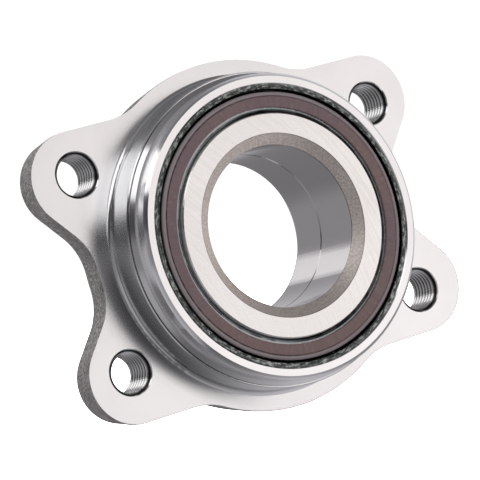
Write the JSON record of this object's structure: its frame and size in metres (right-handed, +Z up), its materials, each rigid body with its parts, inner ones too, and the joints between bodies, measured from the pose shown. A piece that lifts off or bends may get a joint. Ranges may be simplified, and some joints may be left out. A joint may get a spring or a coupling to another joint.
{
  "type": "flanged wheel hub bearing",
  "caption": "Flanged double-row wheel hub bearing: an eared outer ring with collar and tapped holes, split inner rings, caged balls, seals and a magnetic encoder.",
  "frame": {"origin": "on the spin axis, in the plane of the machined flange face", "axes": "+Y along the spin axis towards the wheel side, so the collar and encoder face -Y; +X along the tapped holes' wide spacing; +Z up"},
  "size_m": [0.1178, 0.037, 0.0942],
  "materials": {
    "forged_steel": "turned and ground faces, with a rough dark forged edge",
    "ground_steel": "ground bright",
    "spring_steel": "oiled spring steel",
    "ball_steel": "polished",
    "cage_nylon": "moulded, natural",
    "dark_case": "dark plated sheet, slightly speckled",
    "lip_rubber": "matt",
    "stainless": "pressed, bright",
    "encoder_rubber": "satin brown, finely brushed"
  },
  "bodies": {
    "housing": {"outer_ring": "forged_steel", "seal_case_inboard": "dark_case", "seal_lip_inboard": "lip_rubber", "seal_case_outboard": "dark_case", "seal_lip_outboard": "lip_rubber"},
    "spindle": {"inner_ring_inboard": "ground_steel", "inner_ring_outboard": "ground_steel", "ring_clip": "spring_steel", "slinger_inboard": "stainless", "encoder_ring": "encoder_rubber", "slinger_outboard": "stainless"},
    "cage_row_inboard": {"cage_inboard": "cage_nylon", "ball_inboard_01": "ball_steel", "ball_inboard_02": "ball_steel", "ball_inboard_03": "ball_steel", "ball_inboard_04": "ball_steel", "ball_inboard_05": "ball_steel", "ball_inboard_06": "ball_steel", "ball_inboard_07": "ball_steel", "ball_inboard_08": "ball_steel", "ball_inboard_09": "ball_steel", "ball_inboard_10": "ball_steel", "ball_inboard_11": "ball_steel", "ball_inboard_12": "ball_steel", "ball_inboard_13": "ball_steel", "ball_inboard_14": "ball_steel"},
    "cage_row_outboard": {"cage_outboard": "cage_nylon", "ball_outboard_01": "ball_steel", "ball_outboard_02": "ball_steel", "ball_outboard_03": "ball_steel", "ball_outboard_04": "ball_steel", "ball_outboard_05": "ball_steel", "ball_outboard_06": "ball_steel", "ball_outboard_07": "ball_steel", "ball_outboard_08": "ball_steel", "ball_outboard_09": "ball_steel", "ball_outboard_10": "ball_steel", "ball_outboard_11": "ball_steel", "ball_outboard_12": "ball_steel", "ball_outboard_13": "ball_steel", "ball_outboard_14": "ball_steel"}
  },
  "joints": [
    {"name": "inner_spin", "type": "hinge", "parent": "housing", "child": "spindle", "pos_m": [0, 0, 0], "axis": [0, 1, 0], "continuous": true},
    {"name": "inboard_cage_spin", "type": "hinge", "parent": "housing", "child": "cage_row_inboard", "pos_m": [0, 0, 0], "axis": [0, 1, 0], "continuous": true},
    {"name": "outboard_cage_spin", "type": "hinge", "parent": "housing", "child": "cage_row_outboard", "pos_m": [0, 0, 0], "axis": [0, 1, 0], "continuous": true}
  ],
  "couplings": [
    {"joint": "inboard_cage_spin", "follows": "inner_spin", "ratio": 0.4298},
    {"joint": "outboard_cage_spin", "follows": "inner_spin", "ratio": 0.4298}
  ]
}
